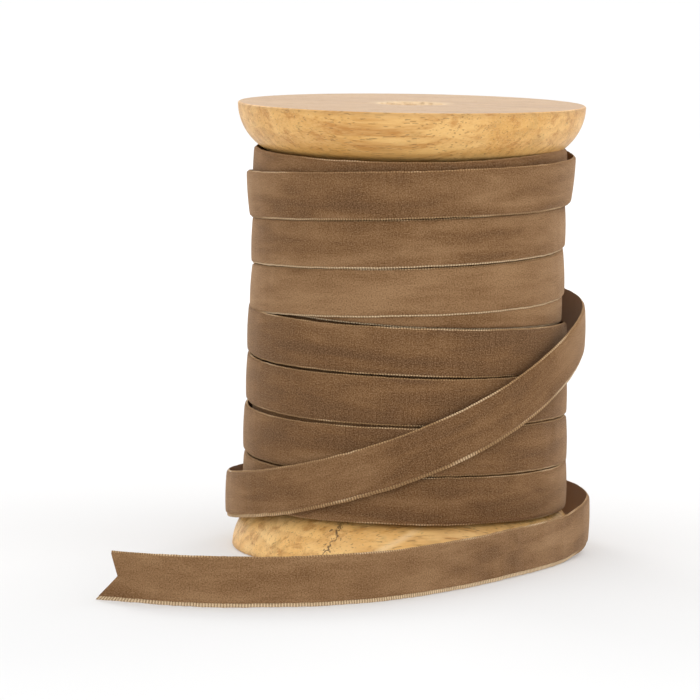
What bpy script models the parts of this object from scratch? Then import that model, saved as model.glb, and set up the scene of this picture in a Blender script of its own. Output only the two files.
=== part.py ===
"""Wooden spool of velvet ribbon: turned flanges on a bored barrel, wound layers and a free run.

The spool stands on its lower flange with its axis along +Z and its origin at the middle of
the base. The ribbon is wound clockwise seen from above. The layer under the last one climbs,
the last one comes down, and it leaves the spool at the back as a loose turn and a tail that
stands on its edge.
"""

import math

import bmesh
import bpy
from mathutils import Vector

MM = 0.001

# ---- driving dimensions, in millimetres -------------------------------------------------------
SPOOL_HEIGHT = 114.4
FLANGE_RADIUS = 44.5
FLANGE_THICKNESS = 13.0
FLANGE_ROUND_DEPTH = 14.0      # axial half-axis of the rounded inner edge
FLANGE_ROUND_INSET = 14.4      # radial half-axis of the rounded inner edge
FLANGE_EDGE_BREAK = 0.4        # small bevel on the sharp outer rim
BORE_RADIUS = 8.0
BORE_EDGE_BREAK = 0.7
BARREL_RADIUS = 34.5
SPIGOT_RADIUS = 24.0
SPIGOT_LENGTH = 5.0

RIBBON_WIDTH = 12.0
RIBBON_THICKNESS = 0.75
TAPE_THICKNESS = 0.2
TAPE_ARC = math.radians(36.0)
HIDDEN_LAYERS = 4
NOTCH_DEPTH = 5.5              # depth of the swallow-tail cut in the ribbon's free end

FIT_GAP = 0.3                  # clearance between solids that touch in the real spool
WINDING_END_GAP = 0.5          # from a hidden layer's end to the flange beside it
FALLING_PITCH = 12.4           # fall of one turn of the last layer
FALLING_START_DEPTH = 20.5      # from the spool's top to the last layer's first turn, at the front
FALLING_START_ANGLE = 30.0
FALLING_END_ANGLE = -282.0
FALLING_TURNS = 3
RISING_PITCH = 12.3            # rise of one turn of the climbing layer
RISING_START_HEIGHT = 16.9     # middle of the climbing layer's first turn, at the right
RISING_START_ANGLE = 40.0
RISING_TURNS = 6.95
RISING_SWAY = 1.9              # the climbing turns rise less at the front than at the back
COVERED_FROM_TURN = 4.0        # from here on the last layer covers the climbing one
TOP_REACHED_TURN = 6.5         # where the climbing layer meets the top flange
LOWER_TURNS_BULGE = 1.3        # the lowest turns are wound slack and stand out by this much
BULGED_TURNS = 3.35            # turns from the right-hand side until the layer lies snug again
BULGE_EASE_TURNS = 0.25

# The loose turn's middle line: angle in degrees, radius, height. It starts over the last layer's end.
LOOSE_TURN_ROUTE = (
    (118.0, 42.6, 63.6), (90.0, 42.9, 62.9), (60.0, 43.7, 61.9), (30.0, 44.6, 60.3),
    (5.0, 45.1, 58.0), (-12.0, 44.9, 55.2), (-28.0, 44.4, 50.2), (-45.0, 43.9, 43.8),
    (-62.0, 43.6, 37.4), (-80.0, 43.4, 31.4), (-98.0, 43.4, 26.2), (-117.0, 43.7, 21.7),
    (-138.0, 44.3, 17.8), (-160.0, 45.4, 15.0), (-182.0, 46.1, 13.2), (-210.0, 46.4, 12.1),
    (-240.0, 46.5, 11.4), (-270.0, 46.5, 10.8), (-300.0, 46.6, 10.1), (-330.0, 46.9, 9.3),
    (-354.0, 47.2, 8.5), (-372.0, 46.9, 7.4),
)
# The tail's middle line, after the loose turn: x and y, standing on the table.
TAIL_ROUTE = (
    (41.3, -21.6), (36.0, -32.5), (28.6, -45.0), (18.8, -60.0), (5.4, -77.0),
    (-11.0, -90.8), (-30.5, -98.6), (-51.5, -98.8), (-71.5, -91.8),
)
TAIL_LIFT = 0.1                # keeps the tail's lower edge just clear of the table
ROUTE_STEPS = 4                # stations between two route points

# ---- facets -----------------------------------------------------------------------------------
FLANGE_STEPS = 64
SLEEVE_STEPS = 48
TURN_STEPS = 36
ROUND_STEPS = 9


def inner_edge_depth(radius):
    """Depth below a flange's outer face of its rounded inner edge, at a radius."""
    inset = 1.0 - (FLANGE_RADIUS - radius) / FLANGE_ROUND_INSET
    return min(FLANGE_THICKNESS, FLANGE_ROUND_DEPTH * math.sqrt(max(0.0, 1.0 - inset * inset)))


def inner_edge_radius(depth):
    """Radius of a flange's rounded inner edge, at a depth below its outer face."""
    across = math.sqrt(1.0 - (depth / FLANGE_ROUND_DEPTH) ** 2)
    return FLANGE_RADIUS - FLANGE_ROUND_INSET * (1.0 - across)


def layer_radius(index):
    """Inner radius of a wound layer, counted from 0 on the barrel outwards."""
    first = BARREL_RADIUS + FIT_GAP + TAPE_THICKNESS + FIT_GAP
    return first + index * (RIBBON_THICKNESS + FIT_GAP)


def make_material(name, colour, roughness):
    """A plain finish with one colour and one roughness."""
    material = bpy.data.materials.new(name)
    material.use_nodes = True
    shader = material.node_tree.nodes["Principled BSDF"]
    shader.inputs["Base Color"].default_value = (*colour, 1.0)
    shader.inputs["Roughness"].default_value = roughness
    shader.inputs["Metallic"].default_value = 0.0
    return material


def turned_wood():
    """Golden hardwood with a thin oil finish."""
    return make_material("turned_wood", (0.67, 0.42, 0.17), 0.5)


def raw_barrel_wood():
    """The same hardwood, left raw under the ribbon."""
    return make_material("raw_barrel_wood", (0.60, 0.40, 0.20), 0.7)


def cotton_velvet():
    """Warm brown cotton velvet."""
    return make_material("cotton_velvet", (0.23, 0.135, 0.075), 0.9)


def cloth_tape():
    """Cream cotton tape that holds the ribbon's inner end."""
    return make_material("cloth_tape", (0.78, 0.70, 0.55), 0.8)


def add_object(name, mesh_builder, material, parent, smooth_angle=None):
    """Link a bmesh as a named object, in metres, with its faces pointing outwards."""
    bmesh.ops.recalc_face_normals(mesh_builder, faces=mesh_builder.faces[:])
    bmesh.ops.scale(mesh_builder, vec=Vector((MM, MM, MM)), verts=mesh_builder.verts[:])
    mesh = bpy.data.meshes.new(name)
    mesh_builder.to_mesh(mesh)
    mesh_builder.free()
    if smooth_angle is not None:
        mesh.shade_smooth()
        mesh.set_sharp_from_angle(angle=smooth_angle)
    mesh.materials.append(material)
    item = bpy.data.objects.new(name, mesh)
    item.parent = parent
    bpy.context.collection.objects.link(item)
    return item


def turned(name, profile, steps, material, parent):
    """Spin a closed profile of (radius, height) points round the spool's axis."""
    shape = bmesh.new()
    corners = [shape.verts.new((radius, 0.0, height)) for radius, height in profile]
    edges = [shape.edges.new((corners[i - 1], corners[i])) for i in range(len(corners))]
    bmesh.ops.spin(shape, geom=corners + edges, cent=(0.0, 0.0, 0.0), axis=(0.0, 0.0, 1.0),
                   angle=math.tau, steps=steps, use_merge=True)
    return add_object(name, shape, material, parent, math.radians(35.0))


def flange_profile():
    """Half section of a flange with its outer face at height 0, going down into the spool."""
    recess_radius = SPIGOT_RADIUS + FIT_GAP
    recess_floor = FLANGE_THICKNESS - SPIGOT_LENGTH - FIT_GAP
    points = [(BORE_RADIUS, BORE_EDGE_BREAK), (BORE_RADIUS + BORE_EDGE_BREAK, 0.0),
              (FLANGE_RADIUS - FLANGE_EDGE_BREAK, 0.0)]
    for step in range(ROUND_STEPS + 1):
        turn = step / ROUND_STEPS
        depth = FLANGE_EDGE_BREAK + (FLANGE_THICKNESS - FLANGE_EDGE_BREAK) * math.sin(turn * math.pi / 2)
        points.append((inner_edge_radius(depth), depth))
    points += [(recess_radius, FLANGE_THICKNESS), (recess_radius, recess_floor), (BORE_RADIUS, recess_floor)]
    return points


def build_flanges(wood, parent):
    """Two bun-edged discs, each with a recess for the barrel's spigot and an axial bore."""
    profile = flange_profile()
    turned("bottom_flange", profile, FLANGE_STEPS, wood, parent)
    flipped = [(radius, SPOOL_HEIGHT - depth) for radius, depth in profile]
    turned("top_flange", flipped, FLANGE_STEPS, wood, parent)


def build_core(wood, parent):
    """Bored barrel with a spigot at each end that seats in a flange."""
    shoulder = FLANGE_THICKNESS + FIT_GAP
    spigot_end = shoulder - SPIGOT_LENGTH
    lower = [(BORE_RADIUS, spigot_end), (SPIGOT_RADIUS, spigot_end), (SPIGOT_RADIUS, shoulder),
             (BARREL_RADIUS, shoulder)]
    upper = [(radius, SPOOL_HEIGHT - height) for radius, height in reversed(lower)]
    turned("core", lower + upper, SLEEVE_STEPS, wood, parent)


def build_hidden_layers(velvet, parent):
    """The wound layers under the visible turns, each as a sleeve of the ribbon's thickness."""
    for index in range(HIDDEN_LAYERS):
        inner = layer_radius(index)
        outer = inner + RIBBON_THICKNESS
        low = inner_edge_depth(inner) + WINDING_END_GAP
        high = SPOOL_HEIGHT - low
        profile = [(inner, low), (outer, low), (outer, high), (inner, high)]
        turned(f"winding_layer_{index + 1}", profile, SLEEVE_STEPS, velvet, parent)


def strip_solid(name, stations, thickness, material, parent, notch=0.0):
    """Closed flat strip through stations of (middle, half-width vector, unit normal).

    A notch pulls the middle of the last edge back along the strip, as a swallow-tail cut does.
    """
    shape = bmesh.new()
    rows = []
    for number, (middle, across, outward) in enumerate(stations):
        half = outward * (thickness / 2.0)
        ring = [middle - across - half, middle + across - half, middle + across + half, middle - across + half]
        if notch:
            is_end = number == len(stations) - 1
            back = (stations[number - 1][0] - middle).normalized() * (notch if is_end else 0.0)
            ring.insert(3, middle + back + half)
            ring.insert(1, middle + back - half)
        rows.append([shape.verts.new(point) for point in ring])
    sides = len(rows[0])
    for near, far in zip(rows, rows[1:]):
        for side in range(sides):
            after = (side + 1) % sides
            shape.faces.new((near[side], near[after], far[after], far[side]))
    for row in (rows[0], rows[-1]):
        for side in range(sides // 2 - 1):
            shape.faces.new((row[side], row[side + 1], row[sides - 2 - side], row[sides - 1 - side]))
    return add_object(name, shape, material, parent, math.radians(35.0))


def polar(angle, radius, height):
    """Point at an angle in radians round the axis."""
    return Vector((radius * math.cos(angle), radius * math.sin(angle), height))


def wrap_station(angle, radius, height, slope):
    """Station of a strip that lies on the winding, where slope is rise over run clockwise."""
    outward = Vector((math.cos(angle), math.sin(angle), 0.0))
    clockwise = Vector((math.sin(angle), -math.cos(angle), slope)).normalized()
    across = outward.cross(clockwise).normalized() * (RIBBON_WIDTH / 2.0)
    if across.z < 0.0:
        across.negate()
    return polar(angle, radius, height), across, outward


def level_beside_flange(height, radius):
    """Keep a turn of the ribbon clear of the flanges, where it runs level along them."""
    reach = inner_edge_depth(radius - RIBBON_THICKNESS / 2.0) + WINDING_END_GAP + RIBBON_WIDTH / 2.0
    return min(max(height, reach), SPOOL_HEIGHT - reach)


def even_rise(turns):
    """Middle height of a layer that climbs by the visible turns' pitch all the way."""
    climbed = max(turns, 0.0)
    sway = RISING_SWAY * (1.0 - math.cos(climbed * math.tau))
    return RISING_START_HEIGHT + RISING_PITCH * climbed - sway


def rising_height(turns):
    """Middle height of the climbing layer, at a number of turns from the right-hand side."""
    radius = rising_radius(turns)
    top = level_beside_flange(SPOOL_HEIGHT, radius)
    spread = (top - even_rise(TOP_REACHED_TURN)) / (TOP_REACHED_TURN - COVERED_FROM_TURN)
    height = even_rise(turns) + spread * max(0.0, turns - COVERED_FROM_TURN)
    return level_beside_flange(height, radius)


def rising_radius(turns):
    """Middle radius of the climbing layer, slack at the bottom and snug under the last layer."""
    snug = layer_radius(HIDDEN_LAYERS) + RIBBON_THICKNESS / 2.0
    ease = min(1.0, max(0.0, (BULGED_TURNS - turns) / BULGE_EASE_TURNS))
    return snug + LOWER_TURNS_BULGE * ease


def build_rising_turns(velvet, parent):
    """The layer under the last one: its four lower turns show, the rest climb out of sight."""
    stations = []
    start = -RISING_START_ANGLE / 360.0
    count = round(RISING_TURNS * TURN_STEPS)
    for step in range(count + 1):
        turns = start + RISING_TURNS * step / count
        slope = (rising_height(turns + 0.005) - rising_height(turns - 0.005)) / 0.01
        slope /= math.tau * rising_radius(turns)
        stations.append(wrap_station(-turns * math.tau, rising_radius(turns), rising_height(turns), slope))
    strip_solid("rising_turns", stations, RIBBON_THICKNESS, velvet, parent)


def build_falling_turns(velvet, parent):
    """The last layer, which comes down three turns over the upper half of the winding."""
    stations = []
    radius = layer_radius(HIDDEN_LAYERS + 1) + RIBBON_THICKNESS / 2.0
    slope = -FALLING_PITCH / (math.tau * radius)
    sweep = FALLING_START_ANGLE - FALLING_END_ANGLE + 360.0 * (FALLING_TURNS - 1)
    count = round(sweep / 360.0 * TURN_STEPS)
    for step in range(count + 1):
        angle = FALLING_START_ANGLE - sweep * step / count
        height = SPOOL_HEIGHT - FALLING_START_DEPTH + FALLING_PITCH * (angle + 90.0) / 360.0
        height = level_beside_flange(height, radius)
        stations.append(wrap_station(math.radians(angle), radius, height, slope))
    strip_solid("falling_turns", stations, RIBBON_THICKNESS, velvet, parent)


def build_inner_end_tape(tape, parent):
    """Short cloth tape on the barrel that holds the ribbon's inner end."""
    stations = []
    radius = BARREL_RADIUS + FIT_GAP + TAPE_THICKNESS / 2.0
    height = FLANGE_THICKNESS + WINDING_END_GAP + RIBBON_WIDTH
    for step in range(7):
        angle = math.radians(RISING_START_ANGLE) - TAPE_ARC * step / 6
        stations.append(wrap_station(angle, radius, height, 0.0))
    strip_solid("inner_end_tape", stations, TAPE_THICKNESS, tape, parent)


def smooth_curve(points, steps):
    """Catmull-Rom curve through points, with a number of steps between neighbours."""
    padded = [points[0] * 2 - points[1], *points, points[-1] * 2 - points[-2]]
    curve = []
    for before, start, end, after in zip(padded, padded[1:], padded[2:], padded[3:]):
        for step in range(steps):
            t = step / steps
            curve.append(0.5 * (2 * start + (end - before) * t
                                + (2 * before - 5 * start + 4 * end - after) * t * t
                                + (3 * start - before - 3 * end + after) * t ** 3))
    curve.append(points[-1].copy())
    return curve


def free_run_line():
    """Middle line of the whole free run, curved smoothly round the spool's axis."""
    standing = RIBBON_WIDTH / 2.0 + TAIL_LIFT
    route = [Vector(point) for point in LOOSE_TURN_ROUTE]
    for x, y in TAIL_ROUTE:
        route.append(Vector((math.degrees(math.atan2(y, x)) - 360.0, math.hypot(x, y), standing)))
    curve = smooth_curve(route, ROUTE_STEPS)
    return [polar(math.radians(angle), radius, height) for angle, radius, height in curve]


def free_run_stations():
    """Stations of the whole free run, lying on the winding and then standing on the table."""
    line = free_run_line()
    stations = []
    for number, middle in enumerate(line):
        ahead = line[min(number + 1, len(line) - 1)] - line[max(number - 1, 0)]
        outward = ahead.cross(Vector((0.0, 0.0, 1.0))).normalized()
        if number < len(LOOSE_TURN_ROUTE) * ROUTE_STEPS:
            outward = Vector((middle.x, middle.y, 0.0)).normalized()
        ahead.normalize()
        outward = (outward - ahead * outward.dot(ahead)).normalized()
        across = ahead.cross(outward).normalized() * (RIBBON_WIDTH / 2.0)
        if across.z < 0.0:
            across.negate()
        stations.append((middle, across, outward))
    return stations


def build_free_run(velvet, parent):
    """The loose turn that crosses the winding, and the tail with its swallow-tail cut."""
    stations = free_run_stations()
    split = len(LOOSE_TURN_ROUTE) * ROUTE_STEPS
    strip_solid("loose_turn", stations[:split + 1], RIBBON_THICKNESS, velvet, parent)
    tail = stations[split:]
    middle, across, outward = tail[0]
    onward = (tail[1][0] - middle).normalized()
    tail[0] = (middle + onward * FIT_GAP, across, outward)
    strip_solid("ribbon_tail", tail, RIBBON_THICKNESS, velvet, parent, NOTCH_DEPTH)


def main():
    """Build the spool and its ribbon."""
    for item in list(bpy.data.objects):
        bpy.data.objects.remove(item, do_unlink=True)
    spool = bpy.data.objects.new("spool", None)
    loose_ribbon = bpy.data.objects.new("loose_ribbon", None)
    for empty in (spool, loose_ribbon):
        bpy.context.collection.objects.link(empty)
    velvet = cotton_velvet()
    build_flanges(turned_wood(), spool)
    build_core(raw_barrel_wood(), spool)
    build_inner_end_tape(cloth_tape(), spool)
    build_hidden_layers(velvet, spool)
    build_rising_turns(velvet, spool)
    build_falling_turns(velvet, spool)
    build_free_run(velvet, loose_ribbon)


main()
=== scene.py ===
"""The looks of a wooden spool of velvet ribbon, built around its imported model.

The turned flanges get fine meshes with worn rims and a torn bore lip. The ribbon is one length: its
hidden layers, the visible turns, the stretch that lifts off and the free run are cut from one line.
Sizes are in millimetres until a mesh is made, and metres after that. The studio's are in metres.
"""
import logging
import math
from collections.abc import Sequence
from dataclasses import dataclass, field
from enum import Enum

import bmesh
import bpy
import numpy as np
from mathutils import Euler, Matrix, Vector, noise


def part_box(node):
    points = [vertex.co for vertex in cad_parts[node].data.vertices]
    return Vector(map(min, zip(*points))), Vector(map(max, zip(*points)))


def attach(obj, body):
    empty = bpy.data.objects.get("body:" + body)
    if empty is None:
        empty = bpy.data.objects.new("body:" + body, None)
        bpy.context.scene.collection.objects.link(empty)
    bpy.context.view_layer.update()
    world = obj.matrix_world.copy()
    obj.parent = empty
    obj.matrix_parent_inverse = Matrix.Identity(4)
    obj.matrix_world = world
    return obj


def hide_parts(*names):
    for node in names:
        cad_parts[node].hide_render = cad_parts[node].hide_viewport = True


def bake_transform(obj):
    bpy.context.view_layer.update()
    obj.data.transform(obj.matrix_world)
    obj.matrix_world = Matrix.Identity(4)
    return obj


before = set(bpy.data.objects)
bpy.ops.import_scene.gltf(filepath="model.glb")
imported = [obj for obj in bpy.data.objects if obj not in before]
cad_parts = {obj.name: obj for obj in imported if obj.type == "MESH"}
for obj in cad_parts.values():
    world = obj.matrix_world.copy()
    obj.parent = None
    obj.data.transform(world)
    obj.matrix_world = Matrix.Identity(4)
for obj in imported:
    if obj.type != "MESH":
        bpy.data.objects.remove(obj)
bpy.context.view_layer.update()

MM = 0.001
log = logging.getLogger("ribbon_spool")

Socket = bpy.types.NodeSocket
Colour = tuple[float, float, float]
Triple = tuple[float, float, float]

# Columns of a line's rows.
ANGLE, RADIUS, HEIGHT, LEAN, FLARE, BRUSHING_AND_LIGHT = range(6)

# The sockets of a Mix node that hold colours.
MIX_FIRST, MIX_SECOND, MIX_RESULT = 6, 7, 2

# A station past any strip's end, for a strip that never stands on the table.
NEVER = 10 ** 6
QUARTER_TURN = 90.0


class Body(Enum):
    """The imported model's moving bodies."""

    SPOOL = "spool"
    LOOSE_RIBBON = "loose_ribbon"


class Slot(Enum):
    """The record's material slots."""

    TURNED_WOOD = "turned_wood"
    BARREL_WOOD = "barrel_wood"
    VELVET = "velvet"
    CLOTH_TAPE = "cloth_tape"


class Face(Enum):
    """Which finish a strip's face takes, as its material index."""

    PILE = 0
    SELVEDGE = 1
    BACKING = 2


def top_of(node: str) -> float:
    """Height of a CAD node's top, in millimetres."""
    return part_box(node)[1].z / MM


# ---- node graphs --------------------------------------------------------------------------------


@dataclass
class Graph:
    """A material's node graph, with short calls that add nodes and join them."""

    name: str
    material: bpy.types.Material = field(init=False)

    def __post_init__(self) -> None:
        """Start the material with its shader."""
        self.material = bpy.data.materials.new(self.name)
        self.material.use_nodes = True
        self.tree = self.material.node_tree
        self.shader = self.tree.nodes["Principled BSDF"]

    def put(self, socket: Socket, value: object) -> None:
        """Feed a socket from another socket, or set it to a number or colour.

        Args:
            socket: The input to feed.
            value: A socket to link, or a plain value.
        """
        if isinstance(value, bpy.types.NodeSocket):
            self.tree.links.new(value, socket)
        elif isinstance(value, tuple) and len(value) == 3 and socket.type == "RGBA":
            socket.default_value = (*value, 1.0)
        else:
            socket.default_value = value

    def finish_with(self, **inputs: object) -> bpy.types.Material:
        """Feed the shader's inputs.

        Args:
            inputs: Shader input names, with underscores for spaces, and what feeds them.

        Returns:
            The finished material.
        """
        for name, value in inputs.items():
            self.put(self.shader.inputs[name.replace("_", " ")], value)
        return self.material

    def maths(self, operation: str, first: object, second: object = 0.0) -> Socket:
        """One step of arithmetic.

        Args:
            operation: The Math node's operation.
            first: First operand.
            second: Second operand.

        Returns:
            The result.
        """
        node = self.tree.nodes.new("ShaderNodeMath")
        node.operation = operation
        self.put(node.inputs[0], first)
        self.put(node.inputs[1], second)
        return node.outputs[0]

    def times(self, first: object, second: object) -> Socket:
        """Product of two values."""
        return self.maths("MULTIPLY", first, second)

    def plus(self, first: object, second: object) -> Socket:
        """Sum of two values."""
        return self.maths("ADD", first, second)

    def hypotenuse(self, first: object, second: object) -> Socket:
        """Distance covered by two sides at right angles."""
        return self.maths("SQRT", self.plus(self.times(first, first), self.times(second, second)))

    def wave(self, phase: object) -> Socket:
        """Sine of a phase, moved to run between 0 and 1."""
        return self.to_share(self.maths("SINE", phase))

    def to_share(self, value: object) -> Socket:
        """A value from -1 to 1, moved to run between 0 and 1."""
        return self.plus(self.times(value, 0.5), 0.5)

    def mix(self, share: object, first: object, second: object) -> Socket:
        """Blend two colours.

        Args:
            share: Share of the second colour, 0 to 1.
            first: First colour.
            second: Second colour.

        Returns:
            The blended colour.
        """
        node = self.tree.nodes.new("ShaderNodeMix")
        node.data_type = "RGBA"
        self.put(node.inputs[0], share)
        self.put(node.inputs[MIX_FIRST], first)
        self.put(node.inputs[MIX_SECOND], second)
        return node.outputs[MIX_RESULT]

    def fade(self, value: object, low: float, high: float, start: float = 0.0,
             end: float = 1.0) -> Socket:
        """Smooth step of a value.

        Args:
            value: What to measure.
            low: Value where the step starts.
            high: Value where the step ends.
            start: Result at low.
            end: Result at high.

        Returns:
            The stepped value.
        """
        node = self.tree.nodes.new("ShaderNodeMapRange")
        node.interpolation_type = "SMOOTHSTEP"
        for place, part in enumerate((value, low, high, start, end)):
            self.put(node.inputs[place], part)
        return node.outputs[0]

    def tint(self, colour: object, shade: Colour, value: object, low: float, high: float,
             most: float = 1.0) -> Socket:
        """Lay a shade over a colour as a value goes from low to high.

        Args:
            colour: The colour so far.
            shade: The shade to lay over it.
            value: What decides where the shade shows.
            low: Value where it starts to show.
            high: Value where it shows most.
            most: Its greatest share.

        Returns:
            The blended colour.
        """
        return self.mix(self.fade(value, low, high, 0.0, most), colour, shade)

    def grain(self, place: Socket, scale: Triple, detail: float = 2.0, warp: float = 0.0,
              harshness: float = 0.5) -> Socket:
        """Fractal noise over stretched coordinates.

        Args:
            place: Coordinates in millimetres.
            scale: Noise cells per millimetre along each axis.
            detail: Octaves.
            warp: Distortion.
            harshness: Weight of the finer octaves.

        Returns:
            The noise, about 0.5 on average.
        """
        stretch = self.tree.nodes.new("ShaderNodeMapping")
        self.put(stretch.inputs["Vector"], place)
        stretch.inputs["Scale"].default_value = scale
        node = self.tree.nodes.new("ShaderNodeTexNoise")
        self.put(node.inputs["Vector"], stretch.outputs[0])
        settings = {"Scale": 1.0, "Detail": detail, "Distortion": warp, "Roughness": harshness}
        for name, value in settings.items():
            node.inputs[name].default_value = value
        return node.outputs["Fac"]

    def attribute(self, name: str) -> Socket:
        """A named number carried by the mesh.

        Args:
            name: The number's name.

        Returns:
            The number.
        """
        node = self.tree.nodes.new("ShaderNodeAttribute")
        node.attribute_name = name
        return node.outputs["Fac"]

    def place_on_strip(self, seed: float) -> Socket:
        """Coordinates along and across a strip of cloth, in millimetres.

        Args:
            seed: Third coordinate, which gives each finish its own noise.

        Returns:
            The coordinates.
        """
        node = self.tree.nodes.new("ShaderNodeCombineXYZ")
        for place, part in enumerate((self.attribute("along"), self.attribute("across"), seed)):
            self.put(node.inputs[place], part)
        return node.outputs[0]

    def weave(self, threads_per_mm: float) -> Socket:
        """Over-and-under pattern of a plain weave on a strip of cloth.

        Args:
            threads_per_mm: Threads in a millimetre, each way.

        Returns:
            The pattern, 0 to 1.
        """
        step = math.tau * threads_per_mm
        weft = self.maths("SINE", self.times(self.attribute("along"), step))
        warp = self.maths("SINE", self.times(self.attribute("across"), step))
        return self.to_share(self.times(weft, warp))

    def parts(self, value: Socket) -> tuple[Socket, Socket, Socket]:
        """Split a vector.

        Args:
            value: The vector.

        Returns:
            Its three numbers.
        """
        node = self.tree.nodes.new("ShaderNodeSeparateXYZ")
        self.put(node.inputs[0], value)
        return node.outputs[0], node.outputs[1], node.outputs[2]

    def place_in_mm(self, turn: float = 0.0, shift: Triple = (0.0, 0.0, 0.0)) -> Socket:
        """The object's own coordinates in millimetres.

        Args:
            turn: Turn about the vertical, in degrees.
            shift: Shift after the turn, in millimetres.

        Returns:
            The coordinates.
        """
        source = self.tree.nodes.new("ShaderNodeTexCoord")
        move = self.tree.nodes.new("ShaderNodeMapping")
        self.put(move.inputs["Vector"], source.outputs["Object"])
        move.inputs["Scale"].default_value = (1 / MM, 1 / MM, 1 / MM)
        move.inputs["Rotation"].default_value = (0.0, 0.0, math.radians(turn))
        move.inputs["Location"].default_value = shift
        return move.outputs[0]

    def bump(self, height: object, depth_mm: float) -> Socket:
        """Fine relief.

        Args:
            height: Height of the relief, 0 to 1.
            depth_mm: Depth that a height of 1 stands for.

        Returns:
            The normal.
        """
        node = self.tree.nodes.new("ShaderNodeBump")
        node.inputs["Strength"].default_value = 1.0
        node.inputs["Distance"].default_value = depth_mm * MM
        self.put(node.inputs["Height"], height)
        return node.outputs[0]


# ---- finishes -----------------------------------------------------------------------------------


@dataclass(frozen=True)
class VelvetPile:
    """Brown cotton velvet, crushed in long soft patches, with painted light on the loose turn's lit side.
    """

    deep: Colour = (0.104, 0.047, 0.017)
    body: Colour = (0.172, 0.081, 0.028)
    # The paler pile, reached where the pile is crushed and where light is painted on.
    brushed_and_lit: Colour = (0.328, 0.187, 0.088)
    tuft_tip: Colour = (0.40, 0.25, 0.14)
    tuft_root: Colour = (0.050, 0.022, 0.008)
    row_crest: Colour = (0.32, 0.19, 0.10)
    sheen: Colour = (1.0, 0.70, 0.46)
    patch_share: float = 0.65
    pile_depth: float = 0.10

    def build(self) -> bpy.types.Material:
        """Make the pile's material.

        Returns:
            The material.
        """
        graph = Graph("velvet_pile")
        place = graph.place_on_strip(3.0)
        patches = graph.grain(place, (0.022, 0.14, 1.0), 3.0, 0.6)
        crush = graph.grain(place, (0.09, 0.30, 1.0), 3.0, 0.4)
        nap_and_light = graph.plus(graph.times(patches, self.patch_share), graph.times(crush, 1.0 - self.patch_share))
        # The mesh's number adds crush, and painted light on the loose turn's right side.
        nap_and_light = graph.plus(nap_and_light, graph.attribute("brushed_pile_and_painted_light"))
        colour = graph.tint(self.deep, self.body, nap_and_light, 0.28, 0.56)
        colour = graph.tint(colour, self.brushed_and_lit, nap_and_light, 0.42, 0.78)
        tufts = graph.grain(place, (2.9, 2.9, 1.0), 3.0, 0.0, 0.75)
        colour = graph.tint(colour, self.tuft_tip, tufts, 0.42, 0.72, 0.55)
        colour = graph.tint(colour, self.tuft_root, tufts, 0.56, 0.28, 0.62)
        rows = graph.grain(place, (2.1, 0.12, 1.0), 2.0)
        colour = graph.tint(colour, self.row_crest, rows, 0.38, 0.68, 0.12)
        relief = graph.plus(tufts, graph.times(rows, 0.25))
        return graph.finish_with(
            Base_Color=colour, Roughness=0.92, Specular_IOR_Level=0.12, Sheen_Weight=0.40,
            Sheen_Roughness=0.38, Sheen_Tint=self.sheen, Normal=graph.bump(relief, self.pile_depth),
        )


@dataclass(frozen=True)
class RibbedSelvedge:
    """The woven edge, bound in pale tan with fine cross ribs and painted highlights on their crests."""

    hollow: Colour = (0.190, 0.098, 0.038)
    rib: Colour = (0.520, 0.315, 0.145)
    # Painted highlight on the rib crests.
    bright: Colour = (0.90, 0.70, 0.46)
    soiled: Colour = (0.22, 0.115, 0.045)
    fibre: Colour = (0.70, 0.47, 0.26)
    ribs_per_mm: float = 1.4
    rib_depth: float = 0.24

    def build(self) -> bpy.types.Material:
        """Make the selvedge's material.

        Returns:
            The material.
        """
        graph = Graph("ribbed_selvedge")
        place = graph.place_on_strip(9.0)
        sway = graph.times(graph.grain(place, (0.8, 1.0, 1.0), 2.0), 2.2)
        phase = graph.times(graph.attribute("along"), math.tau * self.ribs_per_mm)
        ribs = graph.wave(graph.plus(phase, sway))
        # Random noise that darkens the selvedge in soiled places and, where high, places painted glints.
        soil_and_glint = graph.grain(place, (0.06, 0.4, 1.0), 3.0)
        colour = graph.tint(self.hollow, self.rib, ribs, 0.10, 0.75)
        colour = graph.tint(colour, self.soiled, soil_and_glint, 0.58, 0.44, 0.55)
        # Painted highlight: the rib crests on the lower selvedge of the paler turns and of the tail are
        # lightened.
        lower = graph.fade(graph.attribute("across"), 0.0, -5.0)
        lower_edge_highlight = graph.times(graph.fade(graph.attribute("brushed_pile_and_painted_light"), -0.01, 0.06), lower)
        crest = graph.fade(ribs, 0.0, 0.9, 0.30, 1.0)
        colour = graph.mix(graph.times(lower_edge_highlight, graph.times(crest, 0.80)), colour, self.bright)
        # Painted highlight: glints on the rib crests where the noise is high.
        glints = graph.times(graph.fade(soil_and_glint, 0.50, 0.66, 0.0, 0.55), crest)
        colour = graph.mix(glints, colour, self.bright)
        fibres = graph.grain(place, (5.0, 7.0, 1.0), 2.0)
        colour = graph.tint(colour, self.fibre, fibres, 0.35, 0.7, 0.3)
        relief = graph.plus(ribs, graph.times(fibres, 0.3))
        return graph.finish_with(
            Base_Color=colour, Roughness=0.75, Specular_IOR_Level=0.15,
            Normal=graph.bump(relief, self.rib_depth),
        )


@dataclass(frozen=True)
class RibbonBacking:
    """The ribbon's back: a close flat weave with a dull shine."""

    warp: Colour = (0.400, 0.255, 0.150)
    weft: Colour = (0.270, 0.160, 0.088)
    cloud: Colour = (0.33, 0.21, 0.13)
    threads_per_mm: float = 2.6
    thread_depth: float = 0.05

    def build(self) -> bpy.types.Material:
        """Make the backing's material.

        Returns:
            The material.
        """
        graph = Graph("ribbon_backing")
        weave = graph.weave(self.threads_per_mm)
        clouds = graph.grain(graph.place_on_strip(5.0), (0.05, 0.3, 1.0), 3.0)
        colour = graph.mix(weave, self.weft, self.warp)
        return graph.finish_with(
            Base_Color=graph.tint(colour, self.cloud, clouds, 0.4, 0.7, 0.35), Roughness=0.6,
            Specular_IOR_Level=0.35, Normal=graph.bump(weave, self.thread_depth),
        )


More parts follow.
